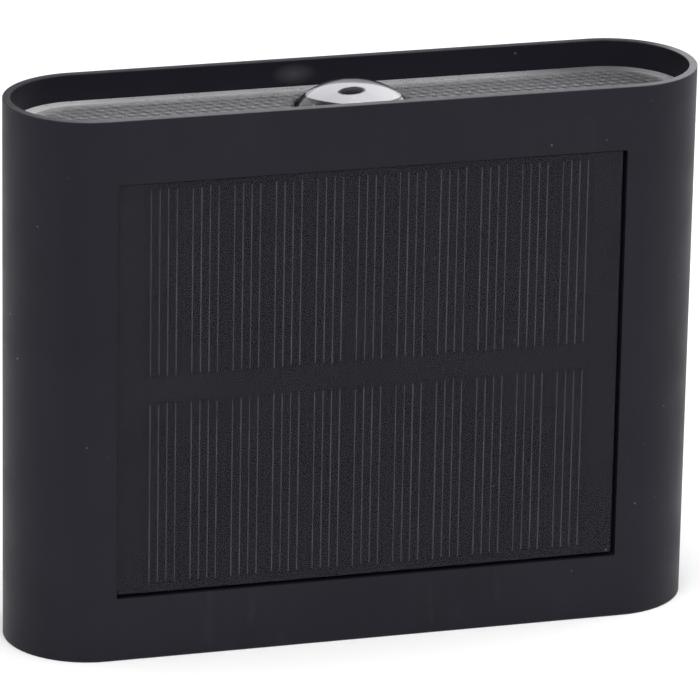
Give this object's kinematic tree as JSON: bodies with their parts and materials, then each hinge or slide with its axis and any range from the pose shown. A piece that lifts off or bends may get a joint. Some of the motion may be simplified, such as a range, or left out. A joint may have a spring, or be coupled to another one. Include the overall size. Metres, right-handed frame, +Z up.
{
  "type": "solar fence light",
  "caption": "Slim solar light for a fence or wall: stadium-section case with a panel in front, recessed clear lens plates with domes above and below, keyhole rear cover and power button.",
  "frame": {"origin": "centre of the flat rear face, on the plane that meets the wall or fence", "axes": "+Z up, +Y out of the rear face towards the wall, +X to the right seen from the front, front face at -Y"},
  "size_m": [0.12, 0.0286, 0.0952],
  "materials": {
    "housing_plastic": "fine moulded grain, satin black",
    "cover_plastic": "fine moulded grain, satin black",
    "button_plastic": "satin dark grey",
    "deck_plastic": "smooth light grey",
    "clear_lens": "clear moulded plastic, dimpled outside its border",
    "cover_film": "clear matte film over the cells",
    "cell_silicon": "near-black silicon with printed conductor lines",
    "backing_board": "black glass-fibre board",
    "foam_tape": "closed-cell foam",
    "silicone_seal": "grey silicone rubber",
    "screw_steel": "nickel-plated steel",
    "reflector_grey": "light grey reflector sheet",
    "led_board_white": "white solder mask",
    "led_window": "dark blue-grey window",
    "board_green": "green solder mask",
    "chip_black": "black moulded package",
    "ferrite": "dark ferrite",
    "capacitor_sleeve": "dark sleeve",
    "chip_parts": "ceramic chip parts",
    "connector_white": "off-white nylon",
    "battery_wrap": "green shrink sleeve",
    "contact_nickel": "nickel-plated spring steel",
    "cradle_plastic": "black plastic",
    "switch_plastic": "black plastic",
    "plunger_plastic": "white plastic",
    "wire_red": "red insulation",
    "wire_black": "black insulation"
  },
  "bodies": {
    "case": {"housing": "housing_plastic", "solar_cover_film": "cover_film", "solar_cells": "cell_silicon", "solar_backing_board": "backing_board", "solar_panel_tape": "foam_tape", "rear_cover": "cover_plastic", "rear_cover_gasket": "silicone_seal", "rear_cover_screws": "screw_steel", "switch_body": "switch_plastic", "battery_cell": "battery_wrap", "battery_cradle": "cradle_plastic", "battery_cradle_tape": "foam_tape", "battery_positive_contact": "contact_nickel", "battery_negative_spring": "contact_nickel", "main_board": "board_green", "control_chip": "chip_black", "charge_inductor": "ferrite", "smoothing_capacitor": "capacitor_sleeve", "small_components": "chip_parts", "wire_connectors": "connector_white", "board_screws": "screw_steel", "battery_wire_red": "wire_red", "battery_wire_black": "wire_black", "top_led_wire_red": "wire_red", "top_led_wire_black": "wire_black", "bottom_led_wire_red": "wire_red", "bottom_led_wire_black": "wire_black", "panel_wire_red": "wire_red", "panel_wire_black": "wire_black", "top_lens": "clear_lens", "top_deck": "deck_plastic", "top_deck_gasket": "silicone_seal", "top_deck_screws": "screw_steel", "top_reflector": "reflector_grey", "top_led_board": "led_board_white", "top_led": "clear_lens", "top_led_window": "led_window", "bottom_lens": "clear_lens", "bottom_deck": "deck_plastic", "bottom_deck_gasket": "silicone_seal", "bottom_deck_screws": "screw_steel", "bottom_reflector": "reflector_grey", "bottom_led_board": "led_board_white", "bottom_led": "clear_lens", "bottom_led_window": "led_window"},
    "button": {"power_button": "button_plastic", "button_o_ring": "silicone_seal", "switch_plunger": "plunger_plastic"}
  },
  "joints": [
    {"name": "button_press", "type": "slide", "parent": "case", "child": "button", "axis": [0, -1, 0], "range_m": [0, 0.0012], "stiffness_N_per_m": 1500, "springref_m": -0.0005}
  ]
}
